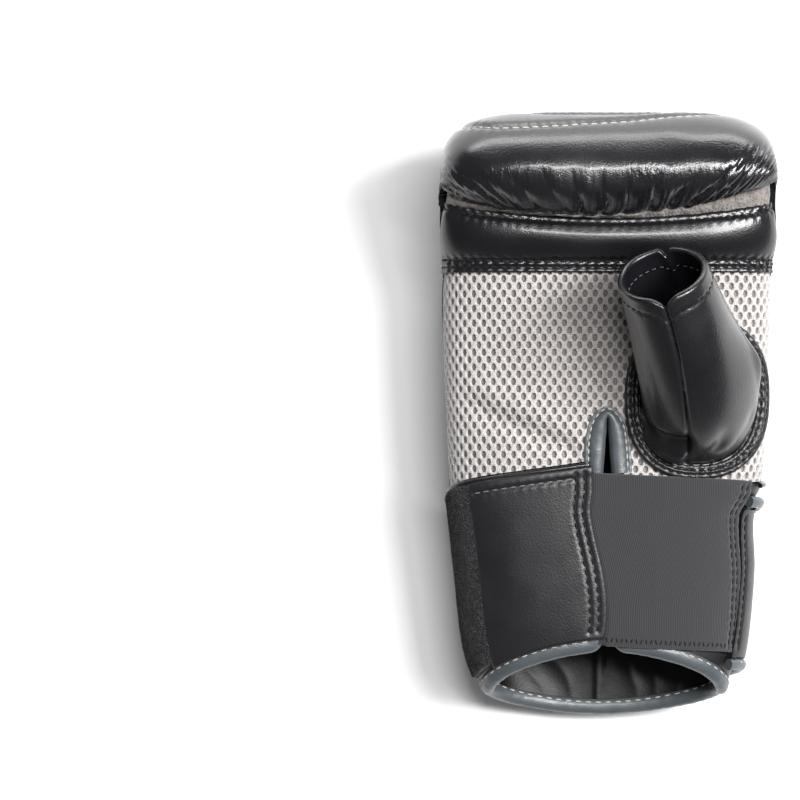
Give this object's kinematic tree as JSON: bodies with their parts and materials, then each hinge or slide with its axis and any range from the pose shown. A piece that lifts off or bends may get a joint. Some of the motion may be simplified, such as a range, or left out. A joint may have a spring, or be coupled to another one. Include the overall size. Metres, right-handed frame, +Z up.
{
  "type": "bag glove",
  "caption": "Right-hand bag glove of padded leather lying palm up, with a curled finger end, mesh palm, open thumb stall, elastic wrist and wrap strap",
  "frame": {"origin": "On the surface that the glove lies on, under the middle of its outline seen from above", "axes": "+X is the thumb side, +Y the finger end, +Z up, away from the padded back that the glove lies on"},
  "size_m": [0.1296, 0.2384, 0.1114],
  "materials": {
    "leather": "glossy, fine grain",
    "mesh": "spacer mesh with oval holes",
    "lining": "fine open knit",
    "binding": "folded tape, satin",
    "loop": "fuzzy loop fabric",
    "elastic": "ribbed elastic",
    "rubber": "matte moulded rubber",
    "tab": "woven tape, bare"
  },
  "bodies": {
    "root": {"back_pad": "leather", "palm_mesh": "mesh", "finger_band": "leather", "finger_lining": "lining", "thumb_stall": "leather", "thumb_patch": "leather", "slit_binding": "binding", "cuff": "leather", "cuff_binding": "binding", "wrist_welt": "leather", "cuff_panel": "leather", "loop_strip": "loop", "elastic_band": "elastic", "strap": "leather", "strap_binding": "binding", "strap_patch": "rubber", "size_tab": "tab"}
  },
  "joints": []
}
